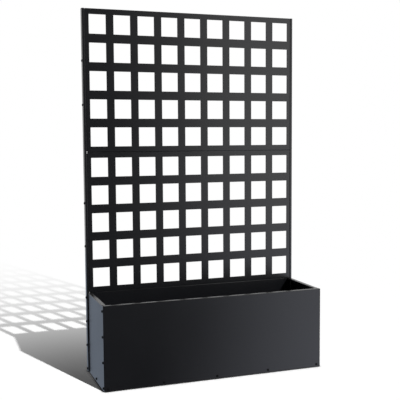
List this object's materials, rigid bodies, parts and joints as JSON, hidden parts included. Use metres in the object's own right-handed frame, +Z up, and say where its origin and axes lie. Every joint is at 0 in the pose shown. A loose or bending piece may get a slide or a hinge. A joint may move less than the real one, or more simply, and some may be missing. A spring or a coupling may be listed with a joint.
{
  "type": "planter with trellis",
  "caption": "Long open planter box of folded black sheet steel with a flat pierced trellis standing on its back wall between two posts of rectangular tube.",
  "frame": {"origin": "on the floor, under the middle of the planter's bounding box", "axes": "+X to the right along the front panel, +Y from the front panel back to the trellis, +Z up"},
  "size_m": [0.9066, 0.2934, 1.43],
  "materials": {
    "powder_coat": "satin black powder coat, fine grain",
    "black_screws": "black-passivated steel, semi-gloss",
    "cap_plastic": "moulded, matt"
  },
  "bodies": {
    "root": {"back_base_nuts": "black_screws", "back_base_screws": "black_screws", "back_wall": "powder_coat", "base_tray": "powder_coat", "front_base_nuts": "black_screws", "front_base_screws": "black_screws", "front_panel": "powder_coat", "left_back_corner_nuts": "black_screws", "left_back_corner_screws": "black_screws", "left_base_nuts": "black_screws", "left_base_screws": "black_screws", "left_front_corner_nuts": "black_screws", "left_front_corner_screws": "black_screws", "left_post": "powder_coat", "left_post_foot_cap": "cap_plastic", "left_post_top_cap": "cap_plastic", "left_post_trellis_nuts": "black_screws", "left_post_trellis_screws": "black_screws", "left_post_wall_nuts": "black_screws", "left_post_wall_screws": "black_screws", "left_side_panel": "powder_coat", "lower_trellis_panel": "powder_coat", "right_back_corner_nuts": "black_screws", "right_back_corner_screws": "black_screws", "right_base_nuts": "black_screws", "right_base_screws": "black_screws", "right_front_corner_nuts": "black_screws", "right_front_corner_screws": "black_screws", "right_post": "powder_coat", "right_post_foot_cap": "cap_plastic", "right_post_top_cap": "cap_plastic", "right_post_trellis_nuts": "black_screws", "right_post_trellis_screws": "black_screws", "right_post_wall_nuts": "black_screws", "right_post_wall_screws": "black_screws", "right_side_panel": "powder_coat", "trellis_foot_nuts": "black_screws", "trellis_foot_screws": "black_screws", "trellis_seam_nuts": "black_screws", "trellis_seam_screws": "black_screws", "upper_trellis_panel": "powder_coat"}
  },
  "joints": []
}
